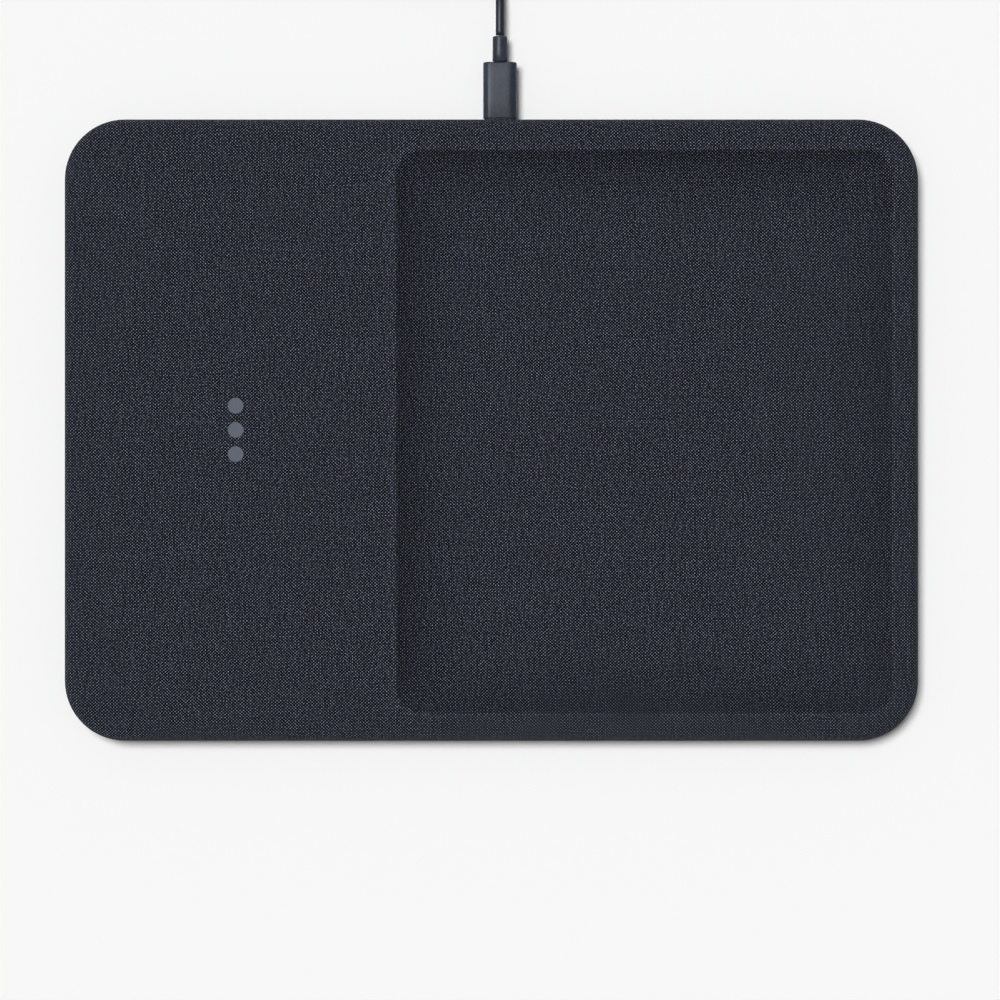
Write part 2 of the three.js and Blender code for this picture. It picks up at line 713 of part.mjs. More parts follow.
piece('cord_run', tube(runRoute, cord.diameter, 10), finishes.cordJacket);
piece('cord_coil', coilRing(), finishes.cordJacket, [coilMiddle[0], coilMiddle[1], 0]);
piece('cord_tie', tieLoop(), finishes.tieStrap, [coilMiddle[0], coilMiddle[1], 0]);
piece('cord_tail', tube(tailRoute, cord.diameter, 14), finishes.cordJacket);

const farReliefX = farStart[0] - cutGap;
const farGripX = farReliefX - farRelief.length - cutGap;
const farShellX = farGripX - farGrip.length + farShell.buried;
const farZ = farStart[2];
const farReliefShape = alongLeft(reliefShape(farRelief).rotateX(Math.PI).translate(0, 0, farRelief.length));
piece('far_plug_relief', farReliefShape, finishes.cordJacket, [farReliefX, farStart[1], farZ]);
piece('far_plug_grip', farGripShape(), finishes.cordJacket, [farGripX, farStart[1], farZ]);
piece('far_plug_shell', farShellShape(), finishes.plugMetal, [farShellX, farStart[1], farZ]);
const farTongue = alongLeft(block(1.8, 10.9, farShell.length - 1.2)).translate(0, 0, -0.7);
piece('far_plug_tongue', farTongue, finishes.contactPlastic, [farShellX - cutGap, farStart[1], farZ]);

export default object;
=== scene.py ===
"""A wireless charging pad with a valet tray, wrapped in woven cloth, with its cable plugged into the back.

Metres, +Z up. The pad stands on z = 0 with its middle at x = y = 0, the charging platform at -X, the tray
at +X and the cable at +Y.
"""
import json
import math

import bpy
import numpy as np
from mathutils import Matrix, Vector

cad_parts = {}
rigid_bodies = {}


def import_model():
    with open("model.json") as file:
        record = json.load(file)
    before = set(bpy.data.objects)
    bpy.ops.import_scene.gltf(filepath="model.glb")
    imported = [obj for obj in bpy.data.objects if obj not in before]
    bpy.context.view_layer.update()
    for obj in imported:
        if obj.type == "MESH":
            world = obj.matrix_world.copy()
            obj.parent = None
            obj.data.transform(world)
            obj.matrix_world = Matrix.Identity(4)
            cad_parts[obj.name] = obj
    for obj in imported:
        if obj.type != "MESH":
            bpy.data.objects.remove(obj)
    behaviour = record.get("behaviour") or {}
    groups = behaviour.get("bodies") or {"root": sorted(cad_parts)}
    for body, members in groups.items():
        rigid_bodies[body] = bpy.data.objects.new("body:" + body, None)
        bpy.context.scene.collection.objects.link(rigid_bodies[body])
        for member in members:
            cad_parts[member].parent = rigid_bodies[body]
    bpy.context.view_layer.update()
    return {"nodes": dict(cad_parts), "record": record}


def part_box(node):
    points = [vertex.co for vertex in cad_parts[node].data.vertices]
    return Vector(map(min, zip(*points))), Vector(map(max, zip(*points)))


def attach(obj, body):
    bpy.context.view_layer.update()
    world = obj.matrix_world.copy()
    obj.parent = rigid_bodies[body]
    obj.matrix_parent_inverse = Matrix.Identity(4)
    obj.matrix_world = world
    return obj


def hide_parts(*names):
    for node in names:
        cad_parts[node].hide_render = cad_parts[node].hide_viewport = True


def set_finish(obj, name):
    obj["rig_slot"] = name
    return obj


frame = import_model()
MM = 0.001


def linear(colour):
    """The linear red, green, blue and alpha of an sRGB hex colour."""
    parts = [int(colour[i:i + 2], 16) / 255 for i in (1, 3, 5)]
    return (*(c / 12.92 if c < 0.04045 else ((c + 0.055) / 1.055) ** 2.4 for c in parts), 1.0)


# ------------------------------------------------------------------ camera

# A long lens straight above, so the sides don't show: what it takes in is given at the height of the cloth
VIEW_WIDTH = 291.3 * MM
VIEW_MIDDLE = (2.5 * MM, -20.4 * MM)
LENS, SENSOR = 200, 36

camera_data = bpy.data.cameras.new("camera")
camera_data.lens = LENS
camera_data.sensor_width = SENSOR
camera = bpy.data.objects.new("camera", camera_data)
pad_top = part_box("fabric_cover")[1][2]
camera.location = (*VIEW_MIDDLE, pad_top + VIEW_WIDTH * LENS / SENSOR)
bpy.context.scene.collection.objects.link(camera)
bpy.context.scene.camera = camera
bpy.context.scene.view_settings.view_transform = "Standard"


# ------------------------------------------------------------------ meshes

def add_piece(name, points, faces, body, uv=None, values=None):
    """A smooth mesh object from points and faces, riding on a body, with its own map and values."""
    mesh = bpy.data.meshes.new(name)
    mesh.from_pydata(points.tolist(), [], faces)
    mesh.shade_smooth()
    if uv is not None:
        corners = np.empty(len(mesh.loops), dtype=np.int32)
        mesh.loops.foreach_get("vertex_index", corners)
        layer = mesh.uv_layers.new(name="along")
        layer.data.foreach_set("uv", uv[corners].astype(np.float32).ravel())
    for key, value in (values or {}).items():
        layer = mesh.attributes.new(key, "FLOAT", "POINT")
        layer.data.foreach_set("value", value.astype(np.float32))
    piece = bpy.data.objects.new(name, mesh)
    bpy.context.scene.collection.objects.link(piece)
    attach(piece, body)
    return piece


def grid_faces(rows, columns, round_rows=False, poles=(False, False)):
    """The faces of a grid of points whose columns close on themselves: four-sided cells between its rows,
    which close too if they are round, and a fan of triangles to one added point at each pole. Cells face
    along columns cross rows."""
    index = np.arange(rows * columns).reshape(rows, columns)
    low = index if round_rows else index[:-1]
    high = np.roll(index, -1, 0) if round_rows else index[1:]
    faces = np.stack([low, np.roll(low, -1, 1), np.roll(high, -1, 1), high], -1).reshape(-1, 4)
    fans = []
    pole = rows * columns
    if poles[0]:
        ring = index[0]
        fans += np.stack([np.full(columns, pole), np.roll(ring, -1), ring], -1).tolist()
        pole += 1
    if poles[1]:
        ring = index[-1]
        fans += np.stack([ring, np.roll(ring, -1), np.full(columns, pole)], -1).tolist()
    return faces, fans


def with_poles(grid, poles):
    """The grid's points in one list, with the middle of its first and last row added as poles."""
    rows = [grid.reshape(-1, grid.shape[-1])]
    rows += [grid[end].mean(0)[None] for end, on in zip((0, -1), poles) if on]
    return np.concatenate(rows)


def inner_steps(steps):
    """Fractions of equal steps along a side, without its two ends."""
    return np.linspace(0, 1, steps + 1)[1:-1]


def around(arc, runs, back_run=None):
    """Columns round a rounded rectangle, counter-clockwise from its right side: where each one's arc
    centre is, from -1 to 1 each way, and the direction it faces. Each corner is an arc of equal steps. The
    runs are the fractions along the level sides and the upright sides between them, and a back run takes
    the place of the first."""
    parts = []
    signs = [(1, 1), (-1, 1), (-1, -1), (1, -1)]
    for quarter, (sign_x, sign_y) in enumerate(signs):
        turn = (quarter + np.linspace(0, 1, arc + 1)) * math.pi / 2
        flat = np.ones(arc + 1)
        parts.append(np.stack([sign_x * flat, sign_y * flat, np.cos(turn), np.sin(turn)]))
        run = np.asarray(runs[quarter % 2] if back_run is None or quarter else back_run, dtype=float)
        next_x, next_y = signs[(quarter + 1) % 4]
        facing = (quarter + 1) * math.pi / 2
        flat = np.ones(len(run))
        parts.append(np.stack([
            sign_x + (next_x - sign_x) * run,
            sign_y + (next_y - sign_y) * run,
            math.cos(facing) * flat,
            math.sin(facing) * flat,
        ]))
    return np.concatenate(parts, 1)


def rounded(width, depth, corner, columns):
    """Points round a rounded rectangle for each row: the corner centres' rectangle, scaled by where each
    column stands on it, plus the corner radius in the direction that the column faces."""
    width, depth, corner = (np.atleast_1d(v).astype(float)[:, None] for v in (width, depth, corner))
    at_x, at_y, facing_x, facing_y = columns
    x = at_x * (width / 2 - corner) + facing_x * corner
    y = at_y * (depth / 2 - corner) + facing_y * corner
    return x, y


AXES = {
    "up": ((1, 0, 0), (0, 1, 0), (0, 0, 1)),
    "back": ((-1, 0, 0), (0, 0, 1), (0, 1, 0)),
    "left": ((0, -1, 0), (0, 0, 1), (-1, 0, 0)),
}


def drawn_out(name, body, rows, place, axis="up", arc=8, ring=False):
    """A rounded rectangle carried along a straight axis from a place. Each row is its width, height,
    corner radius and distance along, in millimetres. The rows close on themselves for a ring, or end in
    two poles."""
    rows = np.array(rows, dtype=float)
    columns = around(arc, (inner_steps(5), inner_steps(3)))
    across, up = rounded(rows[:, 0], rows[:, 1], rows[:, 2], columns)
    along = np.broadcast_to(rows[:, 3:], across.shape)
    side, rise, way = (np.array(v) for v in AXES[axis])
    grid = across[..., None] * side + up[..., None] * rise + along[..., None] * way
    grid = (grid + np.array(place)) * MM
    poles = (not ring, not ring)
    faces, fans = grid_faces(*grid.shape[:2], round_rows=ring, poles=poles)
    return add_piece(name, with_poles(grid, poles), faces.tolist() + fans, body)


def arc_rows(width, height, corner, start, radius, first, last, steps=5):
    """Rows round an edge of a radius, between two angles in degrees, where 0 faces sideways and 90 along:
    the inset is the radius less its cosine and the rise is its sine."""
    turn = np.radians(np.linspace(first, last, steps))
    inset = radius * (1 - np.cos(turn))
    rise = start + radius * np.sin(turn)
    return [(width - 2 * i, height - 2 * i, corner - i, a) for i, a in zip(inset, rise)]


def smooth_path(points, steps):
    """A Catmull-Rom curve through points, with equal steps of its parameter between each two."""
    points = np.array(points, dtype=float)
    points = np.concatenate([2 * points[:1] - points[1:2], points, 2 * points[-1:] - points[-2:-1]])
    before, start, end, after = points[:-3], points[1:-2], points[2:-1], points[3:]
    t = (np.arange(steps) / steps)[None, :, None]
    before, start, end, after = (p[:, None] for p in (before, start, end, after))
    curve = 0.5 * (
        2 * start
        + (end - before) * t
        + (2 * before - 5 * start + 4 * end - after) * t ** 2
        + (3 * start - before - 3 * end + after) * t ** 3
    )
    return np.concatenate([curve.reshape(-1, 3), points[-2:-1]])


# ------------------------------------------------------------------ the cord

# Millimetres: the cord's diameter and how far apart its turns lie, then where the coil is, the radius and
# height of its first turn, how many turns it has and how many lie side by side in a layer
CORD = 2.5
CORD_PITCH = 2.55
COIL_MIDDLE = (-16.3, 153)
FIRST_TURN = 18.8
FIRST_HEIGHT = 2.1
TURNS = 15.25
COLUMNS = 4

# Out of the strain relief and down to the coil, then off the coil's top to the far plug
RUN = [
    (2.5, 115.45, 6.8), (2.5, 119, 6.8), (2.5, 123, 6.7), (2.5, 127, 6.2), (2.5, 131, 5.1),
    (2.5, 135, 3.7), (2.5, 139, 2.5), (2.5, 142, 1.95), (2.5, 147.5, 1.7),
]
TAIL = [
    (-22, 171.85, 9.5), (-27.3, 171.7, 8.6), (-32, 171, 6.2), (-37, 169.6, 3.6), (-42, 167.6, 1.8),
    (-47, 165.4, 1.3), (-52, 163.2, 1.5), (-57, 161.5, 2.4), (-62, 160.7, 3.4), (-66.5, 160.5, 3.8),
]


def coil_points(per_turn=24, step_share=0.18):
    """Turns round the coil's middle, four side by side in each layer, inwards and then outwards. Each turn
    keeps its radius and height until its last part, where it steps over to the next on a smooth ramp."""
    turn = np.arange(int(TURNS * per_turn) + 1) / per_turn
    whole = np.floor(turn)
    ramp = np.clip((turn - whole - 1 + step_share) / step_share, 0, 1)
    ramp = ramp * ramp * (3 - 2 * ramp)

    def place(number):
        layer, column = np.divmod(number, COLUMNS)
        column = np.where(layer % 2 == 0, column, COLUMNS - 1 - column)
        return FIRST_TURN - CORD_PITCH * column, FIRST_HEIGHT + CORD_PITCH * layer

    radius, height = place(whole)
    next_radius, next_height = place(np.minimum(whole + 1, math.ceil(TURNS) - 1))
    radius = radius + (next_radius - radius) * ramp
    height = height + (next_height - height) * ramp
    angle = 2 * math.pi * turn
    return np.stack([
        COIL_MIDDLE[0] + radius * np.cos(angle),
        COIL_MIDDLE[1] + radius * np.sin(angle),
        height,
    ], -1)


def cord_tube(name, route, diameter, sides=12):
    """A round tube along a route that never stands upright. Its section's frame is the route's direction
    crossed with up, and that crossed with the direction. Its own map is metres round and along."""
    ahead = np.gradient(route, axis=0)
    ahead /= np.linalg.norm(ahead, axis=1, keepdims=True)
    side = np.cross(ahead, (0, 0, 1.0))
    side /= np.linalg.norm(side, axis=1, keepdims=True)
    rise = np.cross(side, ahead)
    angle = 2 * math.pi * np.arange(sides) / sides
    ring = np.cos(angle)[None, :, None] * side[:, None] + np.sin(angle)[None, :, None] * rise[:, None]
    grid = (route[:, None] - diameter / 2 * ring)[:, ::-1]
    faces, fans = grid_faces(*grid.shape[:2], poles=(True, True))
    length = np.concatenate([[0], np.cumsum(np.linalg.norm(np.diff(route, axis=0), axis=1))])
    along = np.broadcast_to(length[:, None], grid.shape[:2])
    turn = np.broadcast_to(angle[None] * diameter / 2, grid.shape[:2])
    uv = with_poles(np.stack([turn, along], -1), (True, True))
    return add_piece(name, with_poles(grid, (True, True)), faces.tolist() + fans, "cable", uv=uv)


cord_route = smooth_path(np.concatenate([RUN, coil_points(), TAIL]), 3) * MM
cord = cord_tube("cord", cord_route, CORD * MM)
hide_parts("cord_run", "cord_coil", "cord_tail")
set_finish(cord, "cord_jacket")

# ------------------------------------------------------------------ the plug at the pad and its socket

PORT_X, PORT_Z = 2.5, 6.8
# How far behind the pad's middle each piece starts
SOCKET_START, SHELL_START, RING_START, GRIP_START, RELIEF_START = 83.0, 84.65, 88.0, 90.95, 107.85
GRIP = (9.8, 5.6, 2.2)
GRIP_LENGTH, GRIP_EDGE = 16.6, 0.45
RELIEF_LENGTH = 7.3
SHELL = (8.25, 2.4, 1.19)
SHELL_LENGTH, SHELL_WALL = 8.3, 0.3
SOCKET = (8.94, 3.26, 1.61)
SOCKET_DEPTH, SOCKET_WALL = 7.2, 0.27
RING = (11.5, 4.9, 2.35)


def inside_of(outline, wall):
    """The width, height and corner radius inside a wall."""
    return outline[0] - 2 * wall, outline[1] - 2 * wall, outline[2] - wall


def port_piece(name, body, rows, start, stands_for, slot, **shape):
    """A piece drawn out backwards along the port's axis, in place of its CAD node."""
    piece = drawn_out(name, body, rows, (PORT_X, start, PORT_Z), "back", **shape)
    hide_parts(stands_for)
    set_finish(piece, slot)
    return piece


# A pocket in its front face that takes the metal, then the body with both ends rounded over
plug_grip = port_piece("plug_grip", "cable", [
    (8.6, 2.75, 1.3, 2.2),
    (8.7, 2.85, 1.35, 2.2),
    (8.7, 2.85, 1.35, 0.05),
    (8.8, 2.95, 1.4, 0),
    *arc_rows(*GRIP, GRIP_EDGE, GRIP_EDGE, -90, 0),
    (*GRIP, 6),
    (*GRIP, 11),
    *arc_rows(*GRIP, GRIP_LENGTH - GRIP_EDGE, GRIP_EDGE, 0, 90),
], GRIP_START, "cable_plug_grip", "cord_jacket")

plug_relief = port_piece("plug_relief", "cable", [
    (4.2, 4.2, 2.1, 0),
    (4.4, 4.4, 2.2, 0.1),
    (4.36, 4.36, 2.18, 2.5),
    (4.3, 4.3, 2.15, 5),
    *arc_rows(4.25, 4.25, 2.125, RELIEF_LENGTH - 0.3, 0.3, 0, 90),
], RELIEF_START, "cable_plug_relief", "cord_jacket")

plug_shell = port_piece("plug_shell", "cable", [
    *arc_rows(*SHELL, 0.12, 0.12, -90, 0, 3),
    (*SHELL, 4),
    (*SHELL, SHELL_LENGTH),
    (*inside_of(SHELL, SHELL_WALL), SHELL_LENGTH),
    (*inside_of(SHELL, SHELL_WALL), 0.1),
], SHELL_START, "cable_plug_shell", "plug_metal", ring=True)

port_piece("socket_shell", "pad", [
    (*SOCKET, 0),
    *arc_rows(*SOCKET, SOCKET_DEPTH - 0.1, 0.1, 0, 90, 3),
    (*inside_of(SOCKET, SOCKET_WALL), SOCKET_DEPTH - 0.05),
    (*inside_of(SOCKET, SOCKET_WALL), 0),
], SOCKET_START, "receptacle_shell", "plug_metal", ring=True)

port_piece("port_ring", "pad", [
    (*RING, 0),
    *arc_rows(*RING, 2.0, 0.25, 0, 90, 4),
    (9.7, 4.0, 1.95, 2.25),
    (9.4, 3.7, 1.8, 2.05),
    (9.4, 3.7, 1.8, 0),
], RING_START, "port_bezel", "shell_plastic", ring=True)

# ------------------------------------------------------------------ the far plug and the tie

FAR_Y, FAR_Z = 160.5, 3.8
# How far to the left of the pad's middle each piece starts
FAR_RELIEF_START, FAR_GRIP_START, FAR_SHELL_START = 66.8, 75.1, 95.1
FAR_GRIP = (15.6, 7.6, 2.2)
FAR_GRIP_LENGTH, FAR_GRIP_EDGE = 22, 0.7
FAR_SHELL, FAR_SHELL_INSIDE = (12, 4.5, 0.6), (11.3, 3.8, 0.3)
FAR_SHELL_LENGTH = 14


def far_piece(name, rows, start, stands_for, slot, **shape):
    """A piece drawn out to the left along the far plug's axis, in place of its CAD node."""
    piece = drawn_out(name, "cable", rows, (-start, FAR_Y, FAR_Z), "left", **shape)
    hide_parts(stands_for)
    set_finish(piece, slot)
    return piece


far_relief = far_piece("far_relief", [
    (2.6, 2.6, 1.3, 0),
    (3.4, 3.4, 1.7, 0.1),
    (3.6, 3.6, 1.8, 0.4),
    (4.1, 4.1, 2.05, 4),
    (4.6, 4.6, 2.3, 7.6),
    (4.8, 4.8, 2.4, 7.9),
    (4.8, 4.8, 2.4, 8),
], FAR_RELIEF_START, "far_plug_relief", "cord_jacket")

# Both ends rounded over, with a pocket in the second that takes the metal
far_grip = far_piece("far_grip", [
    *arc_rows(*FAR_GRIP, FAR_GRIP_EDGE, FAR_GRIP_EDGE, -90, 0),
    (*FAR_GRIP, 7),
    (*FAR_GRIP, 15),
    *arc_rows(*FAR_GRIP, FAR_GRIP_LENGTH - FAR_GRIP_EDGE, FAR_GRIP_EDGE, 0, 90),
    (12.6, 5.1, 0.75, FAR_GRIP_LENGTH),
    (12.4, 4.9, 0.7, FAR_GRIP_LENGTH - 0.1),
    (12.4, 4.9, 0.7, FAR_GRIP_LENGTH - 1.9),
    (12.2, 4.7, 0.6, FAR_GRIP_LENGTH - 2),
], FAR_GRIP_START, "far_plug_grip", "cord_jacket")

far_steps = np.arange(0, FAR_SHELL_LENGTH, 0.5).tolist()
far_shell = far_piece("far_shell", [
    *[(*FAR_SHELL, step) for step in far_steps],
    *arc_rows(*FAR_SHELL, FAR_SHELL_LENGTH - 0.1, 0.1, 0, 90, 3),
    *[(*FAR_SHELL_INSIDE, step) for step in [FAR_SHELL_LENGTH - 0.05, *far_steps[::-1]]],
], FAR_SHELL_START, "far_plug_shell", "plug_metal", arc=3, ring=True)

# Millimetres: the space inside the tie and its corners, how high it starts, the band, and where round the
# coil it is
TIE_INSIDE = (11.5, 10.85)
TIE_CORNER = 0.7
TIE_LOW = 0.5
TIE_THICKNESS, TIE_WIDTH = 0.48, 5
TIE_ANGLE = math.radians(225)
TIE_MIDDLE = FIRST_TURN - (COLUMNS - 1) / 2 * CORD_PITCH - 0.1


def tie_band():
    """A flat band round the coil's turns. Its section is a superellipse of the band's thickness and width,
    whose cosine and sine are raised to a small power that squares it, carried round a rounded rectangle
    that the turns fill."""
    turn = np.linspace(0, 2 * math.pi, 16, endpoint=False)
    power = 0.35
    out = TIE_THICKNESS / 2 * np.sign(np.cos(turn)) * np.abs(np.cos(turn)) ** power
    across = TIE_WIDTH / 2 * np.sign(np.sin(turn)) * np.abs(np.sin(turn)) ** power
    offset = TIE_THICKNESS / 2 + out
    x, z = rounded(
        TIE_INSIDE[0] + 2 * offset, TIE_INSIDE[1] + 2 * offset, TIE_CORNER + offset,
        around(6, (inner_steps(7), inner_steps(7))))
    from_middle = TIE_MIDDLE + x
    points = np.stack([
        COIL_MIDDLE[0] + from_middle * math.cos(TIE_ANGLE) - across[:, None] * math.sin(TIE_ANGLE),
        COIL_MIDDLE[1] + from_middle * math.sin(TIE_ANGLE) + across[:, None] * math.cos(TIE_ANGLE),
        TIE_LOW + TIE_INSIDE[1] / 2 + z,
    ], -1) * MM
    faces, _ = grid_faces(*points.shape[:2], round_rows=True)
    return add_piece("coil_tie", points.reshape(-1, 3), faces.tolist(), "cable")


tie = tie_band()
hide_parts("cord_tie")
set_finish(tie, "tie_strap")

# ------------------------------------------------------------------ the cloth

# Millimetres: the pad's outline, the radii round which the cloth turns, where its hem lies under the pad,
# and the tray's outline, with how fast its corners widen down the wall
PAD = (249, 181.3, 13)
PAD_CORNER = 17.5
CLOTH = 0.5
TOP_EDGE, BOTTOM_EDGE = 3, 2.4
HEM_BOTTOM = 1.1
HEM_INSET = 8
TRAY_X = (-28.3, 117.5)
TRAY_Y = (-83.25, 82.35)
TRAY_DEPTH, TRAY_CORNER, CORNER_GROWTH = 6, 7, 0.3
SLOPE = math.radians(46)
RIM_RADIUS, FLOOR_RADIUS = 1.4, 17.9
RIM_STEPS, WALL_STEPS = 7, 20
# How far the port's fine columns reach each way, how far apart they are, and how far off the next one is
PORT_REACH, PORT_STEP, PORT_CLEAR = 7.65, 0.45, 9.5


def side_rows():
    """Inset, height and distance down the cloth from the flat top, from the hem's raw edge under the pad,
    round the bottom edge, up the side and round the top edge. Both edges are quarter circles."""
    hem = [(i, HEM_BOTTOM) for i in np.linspace(HEM_INSET, BOTTOM_EDGE + 0.5, 7)]
    turn = np.linspace(-math.pi / 2, 0, 8)
    low = [(BOTTOM_EDGE * (1 - math.cos(t)), HEM_BOTTOM + BOTTOM_EDGE * (1 + math.sin(t))) for t in turn]
    side = [(0, z) for z in np.linspace(HEM_BOTTOM + BOTTOM_EDGE, PAD[2] - TOP_EDGE, 17)[1:-1]]
    turn = np.linspace(0, math.pi / 2, 10)
    top = [(TOP_EDGE * (1 - math.cos(t)), PAD[2] - TOP_EDGE * (1 - math.sin(t))) for t in turn]
    rows = np.array(hem + low + side + top)
    steps = np.linalg.norm(np.diff(rows, axis=0), axis=1)
    down = np.concatenate([np.cumsum(steps[::-1])[::-1], [0]])
    return rows[:, 0], rows[:, 1], down


def tray_rows():
    """Inset from the tray's outline and height, over the rim's rounding, down its short straight slope and
    round the wide fillet to the floor."""
    half = math.tan(SLOPE / 2)
    rim_corner = RIM_RADIUS * half
    floor_corner = rim_corner + TRAY_DEPTH / math.tan(SLOPE)
    turn = np.linspace(0, SLOPE, RIM_STEPS)
    rim_inset = rim_corner - RIM_RADIUS * (half - np.sin(turn))
    rim_height = PAD[2] - RIM_RADIUS * (1 - np.cos(turn))
    turn = np.linspace(SLOPE, 0, WALL_STEPS)
    wall_inset = floor_corner + FLOOR_RADIUS * (half - np.sin(turn))
    wall_height = PAD[2] - TRAY_DEPTH + FLOOR_RADIUS * (1 - np.cos(turn))
    return np.concatenate([rim_inset, wall_inset]), np.concatenate([rim_height, wall_height])


def cloth_cover():
    """One sheet: the outline of the pad moved in by each side row's inset, then the outlines between it
    and the tray's, then the tray's outline moved in down its wall, then the floor shrinking to its middle.
    The rim highlight is a half sine wave over the tray's rim, a painted highlight. The wall shade is painted
    shade in the tray: it grows over the rim to 1, and falls as a square root down the wall and to nothing on
    the floor.
    falls as a square root down the wall, where the cloth is drawn out most, and to nothing on the floor."""
    straight = PAD[0] / 2 - PAD_CORNER
    back = np.concatenate([
        np.linspace(straight, PORT_X + PORT_CLEAR, 30)[1:],
        PORT_X - np.arange(-PORT_REACH, PORT_REACH + PORT_STEP / 9, PORT_STEP),
        np.linspace(PORT_X - PORT_CLEAR, -straight, 34)[:-1],
    ])
    columns = around(16, (inner_steps(59), inner_steps(43)), (1 - back / straight) / 2)
    facing = columns[2:]

    inset, height, down = side_rows()
    x, y = rounded(PAD[0] - 2 * inset, PAD[1] - 2 * inset, PAD_CORNER - inset, columns)
    edge_x, edge_y = x[-1], y[-1]
    map_x = edge_x + facing[0] * down[:, None]
    map_y = edge_y + facing[1] * down[:, None]

    tray_inset, tray_height = tray_rows()
    tray_x, tray_y = rounded(
        np.ptp(TRAY_X) - 2 * tray_inset, np.ptp(TRAY_Y) - 2 * tray_inset,
        TRAY_CORNER + CORNER_GROWTH * tray_inset, columns)
    middle_x, middle_y = sum(TRAY_X) / 2, sum(TRAY_Y) / 2
    tray_x += middle_x
    tray_y += middle_y

    share = np.linspace(0, 1, 26)[1:-1, None]
    top_x = edge_x + (tray_x[0] - edge_x) * share
    top_y = edge_y + (tray_y[0] - edge_y) * share
    shrink = np.linspace(1, 0.04, 22)[1:, None]
    floor_x = middle_x + (tray_x[-1] - middle_x) * shrink
    floor_y = middle_y + (tray_y[-1] - middle_y) * shrink

    flat_x = np.concatenate([top_x, tray_x, floor_x])
    flat_y = np.concatenate([top_y, tray_y, floor_y])
    heights = np.concatenate([
        height,
        np.full(len(top_x), PAD[2]),
        tray_height,
        np.full(len(floor_x), PAD[2] - TRAY_DEPTH),
    ])
    all_x, all_y = np.concatenate([x, flat_x]), np.concatenate([y, flat_y])
    grid = np.stack([all_x, all_y, np.broadcast_to(heights[:, None], all_x.shape)], -1)
    flat = np.stack([np.concatenate([map_x, flat_x]), np.concatenate([map_y, flat_y])], -1)
    # Painted light on the cloth: a painted highlight along the tray's rim, and painted shade down its walls
    # and at their foot
    rim_highlight = np.zeros(grid.shape[:2])
    wall_shade = np.zeros(grid.shape[:2])
    rim = len(x) + len(top_x)
    rim_highlight[rim:rim + RIM_STEPS] = np.sin(np.linspace(0.3, 1, RIM_STEPS) * math.pi)[:, None]
    wall_shade[rim:rim + RIM_STEPS] = np.linspace(0, 1, RIM_STEPS)[:, None]
    wall = rim + RIM_STEPS
    wall_shade[wall:wall + WALL_STEPS] = np.sqrt(np.linspace(1, 0.25, WALL_STEPS))[:, None]
    wall_shade[wall + WALL_STEPS:wall + WALL_STEPS + 3] = [[0.3], [0.12], [0.04]]

    poles = (False, True)
    faces, fans = grid_faces(*grid.shape[:2], poles=poles)
    inside, points = port_cut(with_poles(grid, poles))
    faces = faces[~inside[faces].all(1)]
    painted_light = with_poles(np.stack([rim_highlight, wall_shade], -1), poles)
    return add_piece(
        "cloth_cover", points * MM, faces.tolist() + fans, "pad",
        uv=with_poles(flat, poles) * MM, values={"rim_highlight": painted_light[:, 0], "wall_shade": painted_light[:, 1]})


def port_cut(points, width=11.9, height=5.3, corner=2.4):
    """Which points lie in the port's hole through the cloth, and the points with those moved out to its
    edge, along the direction in which the distance to the hole's outline grows fastest."""
    across = points[:, [0, 2]] - (PORT_X, PORT_Z)
    folded = np.abs(across) - (np.array([width, height]) / 2 - corner)
    out = np.maximum(folded, 0)
    distance = np.linalg.norm(out, axis=1) + np.minimum(folded.max(1), 0) - corner
    nearest = np.eye(2)[folded.argmax(1)]
    length = np.maximum(np.linalg.norm(out, axis=1, keepdims=True), 1e-9)
    way = np.where((folded > 0).all(1)[:, None], out / length, nearest) * np.sign(across)
    inside = (distance < 0) & (points[:, 1] > PAD[1] / 2 - 1)
    moved = points.copy()
    moved[:, [0, 2]] -= np.where(inside[:, None], way * distance[:, None], 0)
    return inside, moved


cloth = cloth_cover()
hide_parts("fabric_cover")
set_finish(cloth, "cloth")
thickness = cloth.modifiers.new("thickness", "SOLIDIFY")
thickness.thickness = CLOTH * MM
thickness.offset = -1

# ------------------------------------------------------------------ the base and the dots

base = drawn_out("base_sheet", "pad", [
    *arc_rows(240, 172.3, 13, 0.3, 0.3, -90, 0, 4),
    *arc_rows(240, 172.3, 13, 0.85, 0.15, 0, 90, 4),
], (0, 0, 0), arc=16)
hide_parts("base_grip")
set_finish(base, "grip_rubber")

DOT = 4.6
DOT_PITCH = 7.05
DOT_X = -74.5
# A thin print with a soft edge that stands a little higher than its middle
for name, row in (("dot_back", 1), ("dot_middle", 0), ("dot_front", -1)):
    piece = drawn_out(f"marker_{name}", "pad", [
        (DOT, DOT, DOT / 2, 0),
        (DOT, DOT, DOT / 2, 0.06),
        (DOT - 0.08, DOT - 0.08, DOT / 2 - 0.04, 0.105),
        (DOT - 0.22, DOT - 0.22, DOT / 2 - 0.11, 0.13),
        (DOT - 0.5, DOT - 0.5, DOT / 2 - 0.25, 0.125),
        (DOT - 0.9, DOT - 0.9, DOT / 2 - 0.45, 0.105),
        (DOT / 2, DOT / 2, DOT / 4, 0.1),
    ], (DOT_X, DOT_PITCH * row, PAD[2] + 0.01), arc=12)
    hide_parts(name)
    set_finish(piece, "dot_rubber")


# ------------------------------------------------------------------ materials

def add(tree, kind, sockets=None, **settings):
    """Adds one node: its own settings, and its input sockets as values or as links from other sockets."""
    node = tree.nodes.new("ShaderNode" + kind)
    for key, value in settings.items():
        setattr(node, key, value)
    for key, value in (sockets or {}).items():
        if isinstance(value, bpy.types.NodeSocket):
            tree.links.new(value, node.inputs[key])
        else:
            node.inputs[key].default_value = value
    return node


